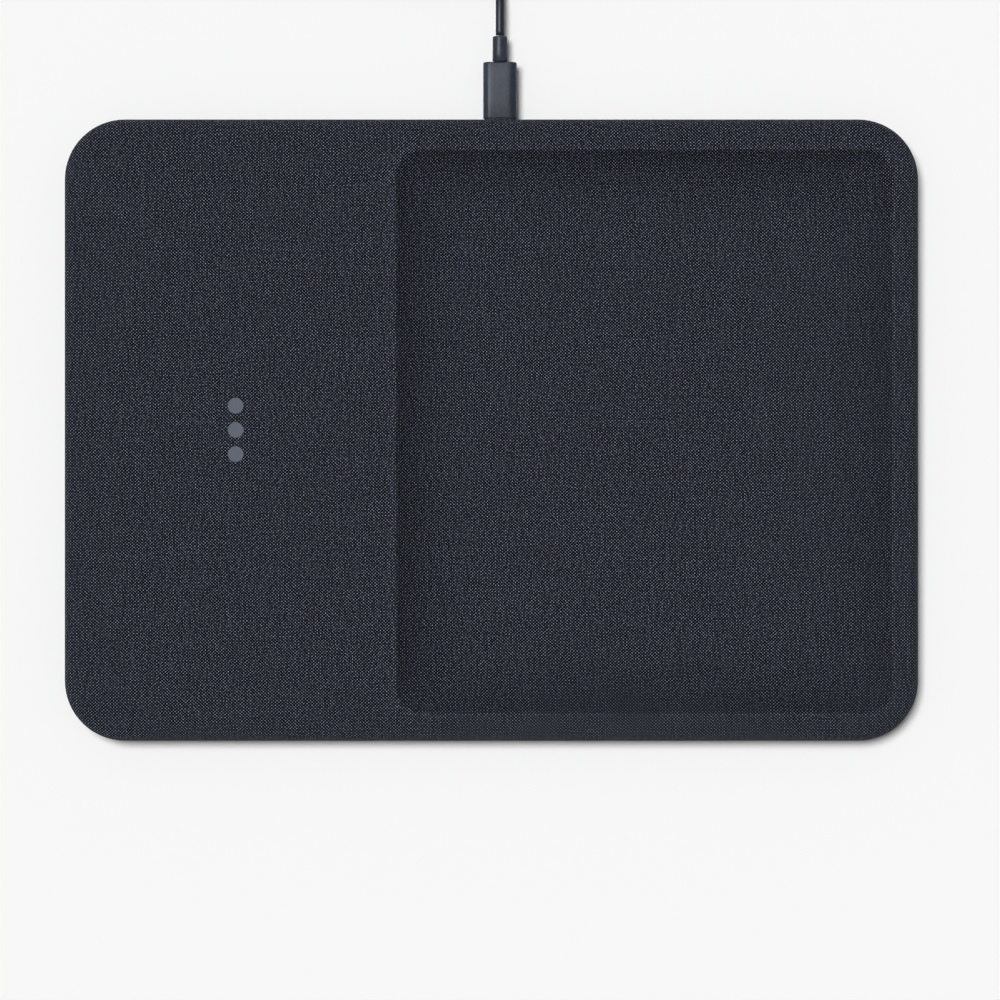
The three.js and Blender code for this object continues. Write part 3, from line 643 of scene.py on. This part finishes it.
def new_finish(name, roughness, metallic=0.0, ior=1.5):
    """An empty finish with its shader: the material, its tree and the shader node."""
    material = bpy.data.materials.new(name)
    material.use_nodes = True
    tree = material.node_tree
    shader = tree.nodes["Principled BSDF"]
    shader.inputs["Roughness"].default_value = roughness
    shader.inputs["Metallic"].default_value = metallic
    if not metallic:
        shader.inputs["IOR"].default_value = ior
    return material, tree, shader


# How far apart the threads are
WARP_PITCH = 0.486 * MM
WEFT_PITCH = 0.447 * MM


def woven_cloth():
    """Polyester plain weave, yarn dyed charcoal and heat set over the shell. Every other crossing shows
    the warp and the rest the weft, so the eye sees rows of small pale nubs with dark gaps between them,
    and slightly thick and thin yarns draw faint streaks both ways. A painted highlight makes the cloth
    paler along the tray's rim, and painted shade makes it darker down the tray's walls."""
    material, tree, shader = new_finish("woven polyester cloth", 0.9, ior=1.45)
    place = add(tree, "UVMap", uv_map="along").outputs["UV"]
    # Threads wander by a fraction of their spacing over about a centimetre
    wander = add(tree, "TexNoise", {"Vector": place, "Scale": 1 / (9 * MM), "Detail": 2.0},
                 noise_dimensions="2D").outputs["Color"]
    centred = add(tree, "VectorMath", {0: wander, 1: (0.5, 0.5, 0.5)}, operation="SUBTRACT").outputs[0]
    place = add(tree, "VectorMath", {0: centred, 1: (0.5 * MM,) * 3, 2: place},
                operation="MULTIPLY_ADD").outputs[0]
    # The product of one wave across the warp and one across the weft is high and low on a chequerboard
    counted = add(tree, "VectorMath", {0: place, 1: (1 / WARP_PITCH, 1 / WEFT_PITCH, 0)},
                  operation="MULTIPLY").outputs[0]
    axes = add(tree, "SeparateXYZ", {0: counted})
    waves, numbers = [], []
    for axis in "XY":
        turn = add(tree, "Math", {0: axes.outputs[axis], 1: math.pi}, operation="MULTIPLY").outputs[0]
        waves.append(add(tree, "Math", {0: turn}, operation="SINE").outputs[0])
        numbers.append(add(tree, "Math", {0: axes.outputs[axis]}, operation="FLOOR").outputs[0])
    crossing = add(tree, "Math", {0: waves[0], 1: waves[1]}, operation="MULTIPLY").outputs[0]
    warp_nub = add(tree, "MapRange", {"Value": crossing, "From Min": 0.3, "From Max": 0.7},
                   interpolation_type="SMOOTHSTEP").outputs[0]
    weft_nub = add(tree, "MapRange", {"Value": crossing, "From Min": -0.4, "From Max": -0.95, "To Max": 0.04},
                   interpolation_type="SMOOTHSTEP").outputs[0]
    nub = add(tree, "Math", {0: warp_nub, 1: weft_nub}, operation="ADD").outputs[0]
    # Each nub has a brightness of its own, less the mean of two of its neighbours', so none of it clumps
    cell = add(tree, "CombineXYZ", {"X": numbers[0], "Y": numbers[1]}).outputs[0]
    own = add(tree, "TexWhiteNoise", {"Vector": cell}, noise_dimensions="2D").outputs["Value"]
    for step in ((1, 1, 0), (1, -1, 0)):
        near = add(tree, "VectorMath", {0: cell, 1: step}, operation="ADD").outputs[0]
        near = add(tree, "TexWhiteNoise", {"Vector": near}, noise_dimensions="2D").outputs["Value"]
        own = add(tree, "Math", {0: near, 1: -0.5, 2: own}, operation="MULTIPLY_ADD").outputs[0]
    own = add(tree, "MapRange", {"Value": own, "From Min": -0.5, "From Max": 0.5, "To Min": 0.5,
                                 "To Max": 1.5}).outputs[0]
    shade = add(tree, "Math", {0: nub, 1: own}, operation="MULTIPLY").outputs[0]
    # Each yarn is a little paler or darker than the next, and changes slowly along itself
    for axis, number, long_way in (("Y", numbers[0], 0.03), ("X", numbers[1], 0.02)):
        jump = add(tree, "Math", {0: number, 1: 0.731}, operation="MULTIPLY").outputs[0]
        slow = add(tree, "Math", {0: axes.outputs[axis], 1: long_way}, operation="MULTIPLY").outputs[0]
        spot = add(tree, "CombineXYZ", {"X": jump, "Y": slow}).outputs[0]
        yarn = add(tree, "TexNoise", {"Vector": spot, "Scale": 1.0, "Detail": 2.0},
                   noise_dimensions="2D").outputs["Fac"]
        tone = add(tree, "MapRange", {"Value": yarn, "From Min": 0.3, "From Max": 0.7, "To Min": 0.9,
                                      "To Max": 1.1}).outputs[0]
        shade = add(tree, "Math", {0: shade, 1: tone}, operation="MULTIPLY").outputs[0]
    # A painted highlight along the tray's rim, and painted shade down its walls
    for value, change in (("rim_highlight", 0.25), ("wall_shade", -0.2)):
        amount = add(tree, "Attribute", attribute_name=value).outputs["Fac"]
        tone = add(tree, "Math", {0: amount, 1: change, 2: 1.0}, operation="MULTIPLY_ADD").outputs[0]
        shade = add(tree, "Math", {0: shade, 1: tone}, operation="MULTIPLY").outputs[0]
    colour = add(tree, "Mix", {0: shade, 6: linear("#04050b"), 7: linear("#6e7482")},
                 data_type="RGBA", clamp_factor=False)
    tree.links.new(colour.outputs[2], shader.inputs["Base Color"])
    bump = add(tree, "Bump", {"Height": nub, "Strength": 0.45, "Distance": 0.1 * MM})
    tree.links.new(bump.outputs[0], shader.inputs["Normal"])
    shader.inputs["Sheen Weight"].default_value = 0.04
    shader.inputs["Sheen Roughness"].default_value = 0.5
    shader.inputs["Specular IOR Level"].default_value = 0.04
    return material


def moulded(name, colours, roughness, grain, depth, ior=1.5, spread=0.12, sheen=0.0, gloss=0.5):
    """A moulded or cast finish. Noise of a grain in millimetres turns between two near colours, moves the
    roughness and raises the surface by a depth in millimetres, over a broad, faint cloud of wear."""
    material, tree, shader = new_finish(name, roughness, ior=ior)
    place = add(tree, "TexCoord").outputs["Object"]
    fine = add(tree, "TexNoise", {"Vector": place, "Scale": 1 / (grain * MM), "Detail": 4.0,
                                  "Roughness": 0.6}).outputs["Fac"]
    broad = add(tree, "TexNoise", {"Vector": place, "Scale": 1 / (20 * grain * MM), "Detail": 3.0})
    mixed = add(tree, "Mix", {"Factor": 0.35, "A": fine, "B": broad.outputs["Fac"]}).outputs["Result"]
    ramp = add(tree, "MapRange", {"Value": mixed, "From Min": 0.35, "From Max": 0.65}).outputs[0]
    colour = add(tree, "Mix", {0: ramp, 6: linear(colours[0]), 7: linear(colours[1])},
                 data_type="RGBA")
    tree.links.new(colour.outputs[2], shader.inputs["Base Color"])
    rough = add(tree, "MapRange", {"Value": mixed, "From Min": 0.3, "From Max": 0.7,
                                   "To Min": roughness - spread, "To Max": roughness + spread}).outputs[0]
    tree.links.new(rough, shader.inputs["Roughness"])
    bump = add(tree, "Bump", {"Height": fine, "Strength": 0.6, "Distance": depth * MM})
    tree.links.new(bump.outputs[0], shader.inputs["Normal"])
    shader.inputs["Sheen Weight"].default_value = sheen
    shader.inputs["Specular IOR Level"].default_value = gloss
    return material


def brushed(name, colour, roughness, grain, stretch, depth=0.004, spread=0.1):
    """A metal finish. Noise drawn out along one way by a stretch, at a grain in millimetres, moves the
    roughness and raises fine lines, and a broad cloud darkens the colour a little, as handling does."""
    material, tree, shader = new_finish(name, roughness, metallic=1.0)
    place = add(tree, "TexCoord").outputs["Object"]
    lines = add(tree, "Mapping", {"Vector": place, "Scale": stretch}).outputs[0]
    fine = add(tree, "TexNoise", {"Vector": lines, "Scale": 1 / (grain * MM), "Detail": 3.0})
    broad = add(tree, "TexNoise", {"Vector": place, "Scale": 1 / (30 * grain * MM), "Detail": 2.0})
    rough = add(tree, "MapRange", {"Value": fine.outputs["Fac"], "From Min": 0.3, "From Max": 0.7,
                                   "To Min": roughness - spread, "To Max": roughness + spread}).outputs[0]
    tree.links.new(rough, shader.inputs["Roughness"])
    dark = tuple(0.75 * c for c in linear(colour)[:3]) + (1.0,)
    tint = add(tree, "Mix", {0: broad.outputs["Fac"], 6: dark, 7: linear(colour)},
               data_type="RGBA")
    tree.links.new(tint.outputs[2], shader.inputs["Base Color"])
    bump = add(tree, "Bump", {"Height": fine.outputs["Fac"], "Strength": 0.4, "Distance": depth * MM})
    tree.links.new(bump.outputs[0], shader.inputs["Normal"])
    return material


def wound_copper():
    """Enamelled litz wire, wound flat. Its colour turns between pale and dark copper in stripes, painted
    glints with painted shade between them. They are drawn straight across the coil and about 2.5 mm apart,
    where real turns are finer and follow the winding."""
    material, tree, shader = new_finish("enamelled copper wire", 0.35, metallic=1.0)
    place = add(tree, "TexCoord").outputs["Object"]
    turns = add(tree, "TexWave", {"Vector": place, "Scale": 1 / (0.9 * 6.28 * MM), "Distortion": 0.6,
                                  "Detail Scale": 2.0}, bands_direction="DIAGONAL")
    # Painted glints: stripes of pale copper between darker copper
    colour = add(tree, "Mix", {0: turns.outputs["Fac"], 6: linear("#6e3218"),
                               7: linear("#c98352")}, data_type="RGBA")
    tree.links.new(colour.outputs[2], shader.inputs["Base Color"])
    bump = add(tree, "Bump", {"Height": turns.outputs["Fac"], "Strength": 0.5, "Distance": 0.1 * MM})
    tree.links.new(bump.outputs[0], shader.inputs["Normal"])
    return material


def contact_block():
    """Black liquid crystal polymer with gold-plated contacts, as bright bars side by side along X, so they
    point along the port's axis. They are drawn 1 mm apart, where real ones are 0.5 mm apart."""
    material, tree, shader = new_finish("contact block", 0.35)
    place = add(tree, "TexCoord").outputs["Object"]
    across = add(tree, "SeparateXYZ", {0: place}).outputs["X"]
    counted = add(tree, "Math", {0: across, 1: 1 / (0.5 * MM)}, operation="MULTIPLY").outputs[0]
    part = add(tree, "Math", {0: counted, 1: 1.0}, operation="PINGPONG").outputs[0]
    bar = add(tree, "Math", {0: part, 1: 0.55}, operation="GREATER_THAN").outputs[0]
    colour = add(tree, "Mix", {0: bar, 6: linear("#141517"), 7: linear("#c9a24a")},
                 data_type="RGBA")
    tree.links.new(colour.outputs[2], shader.inputs["Base Color"])
    tree.links.new(bar, shader.inputs["Metallic"])
    return material


finishes = {
    "cloth": woven_cloth(),
    # Silicone ink printed through a mask: a flat, slightly waxy grey with a faint pebble
    "dot_rubber": moulded("silicone print", ("#4f5560", "#5a606d"), 0.75, 0.35, 0.02, ior=1.43, gloss=0.25),
    # Thermoplastic elastomer over a mould with a fine leather grain: matt, soft highlights
    "cord_jacket": moulded(
        "moulded elastomer", ("#21262e", "#3c4450"), 0.36, 0.45, 0.08, ior=1.48, spread=0.06, gloss=0.1),
    # ABS from a spark-eroded mould: satin black with a fine even texture
    "shell_plastic": moulded("black ABS", ("#1d1f23", "#26282c"), 0.5, 0.25, 0.01, ior=1.53),
    # Silicone rubber sheet: dull and slightly dusty
    "grip_rubber": moulded("silicone rubber sheet", ("#17181b", "#232529"), 0.8, 0.5, 0.03, ior=1.43),
    # Zinc plate: grey, bright and slightly cloudy
    "screw_steel": brushed("zinc-plated steel", "#8d9196", 0.35, 0.2, (1, 1, 1)),
    # Cold-rolled sheet: duller, with faint rolling lines along the pad
    "ballast_steel": brushed("cold-rolled steel", "#8a8d92", 0.42, 0.3, (0.05, 1, 1)),
    # Nickel plate over drawn steel: bright, with very fine lines along the port
    "plug_metal": brushed(
        "nickel-plated steel", "#c6c9cd", 0.28, 0.15, (1, 0.1, 1), depth=0.001, spread=0.04),
    # Polyurethane foam: open cells, no gloss
    "foam": moulded("polyurethane foam", ("#232323", "#3a3a3a"), 0.95, 0.6, 0.2, spread=0.03),
    # Sintered ferrite: dark grey ceramic with a fine grit
    "ferrite": moulded("sintered ferrite", ("#343336", "#434145"), 0.6, 0.15, 0.01, ior=2.0),
    "copper": wound_copper(),
    # Polyimide film: amber and smooth
    "film": moulded("polyimide film", ("#b98a24", "#cc9c34"), 0.22, 2.0, 0.004, ior=1.7, spread=0.05),
    # PVC insulation: plain and slightly glossy
    "lead_insulation": moulded("PVC insulation", ("#202023", "#2e2e32"), 0.45, 0.3, 0.006, ior=1.54),
    # Glass-epoxy laminate under green solder mask
    "board_laminate": moulded("solder mask on laminate", ("#174331", "#1f5038"), 0.4, 0.6, 0.01, ior=1.55),
    # Epoxy moulding compound: near-black with a matt sandblasted face
    "chip_resin": moulded("epoxy moulding compound", ("#131415", "#1d1f20"), 0.55, 0.12, 0.006, ior=1.55),
    # Ceramic capacitor bodies: warm beige, smooth
    "capacitor_body": moulded("ceramic capacitor", ("#8f7046", "#a38355"), 0.4, 0.5, 0.004, ior=1.7),
    "contact_plastic": contact_block(),
    # Woven nylon hook tape: dark, dense and dull
    "tie_strap": moulded("woven nylon tape", ("#191b1e", "#2b2e33"), 0.85, 0.22, 0.08, sheen=0.1),
}

for piece in (o for o in bpy.context.scene.objects if "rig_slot" in o):
    piece.data.materials.append(finishes[piece["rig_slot"]])
# The same elastomer drawn smooth through a die, so the cord has a clean line of light along it
cord.data.materials[0] = moulded(
    "extruded elastomer", ("#1c2128", "#2b323c"), 0.36, 0.5, 0.008, ior=1.48, spread=0.04, gloss=0.12)
slot_of = {part["node"]: part["material_slot"] for part in frame["record"]["subparts"]}
for node, piece in frame["nodes"].items():
    for slot in piece.material_slots:
        slot.material = finishes[slot_of[node]]

# ------------------------------------------------------------------ floor and light

FLOOR_REACH = 30.0
floor_mesh = bpy.data.meshes.new("floor")
floor_corners = [(x * FLOOR_REACH, y * FLOOR_REACH, 0) for x, y in ((-1, -1), (1, -1), (1, 1), (-1, 1))]
floor_mesh.from_pydata(floor_corners, [], [(0, 1, 2, 3)])
floor = bpy.data.objects.new("floor", floor_mesh)
bpy.context.scene.collection.objects.link(floor)
# Matt white paint on board: an even, pale ground
paint, paint_tree, paint_shader = new_finish("matt white paint", 0.9)
paint_shader.inputs["Base Color"].default_value = linear("#f0f0f0")
paint_shader.inputs["Specular IOR Level"].default_value = 0.0
floor_mesh.materials.append(paint)


def far_light(name, strength, wide, place):
    """A softbox so far off that its light is even: its strength, how wide it looks in degrees, and where it
    stands from the pad."""
    data = bpy.data.lights.new(name, "SUN")
    data.energy = strength
    data.angle = math.radians(wide)
    light = bpy.data.objects.new(name, data)
    light.rotation_euler = Vector(place).to_track_quat("Z", "Y").to_euler()
    bpy.context.scene.collection.objects.link(light)
    return light


far_light("overhead softbox", 2.95, 18, (-0.16, 0.155, 1.0))
# A strip at the left, which only draws the soft line of light down the plug and the cord
strip = far_light("side strip", 4.5, 14, (-0.54, 0.1, 1.0))
strip.visible_diffuse = False

# Faint light from all round, which opens the shadows a little
world = bpy.data.worlds.new("room")
world.use_nodes = True
world.node_tree.nodes["Background"].inputs["Color"].default_value = (1, 1, 1, 1)
world.node_tree.nodes["Background"].inputs["Strength"].default_value = 0.16
bpy.context.scene.world = world
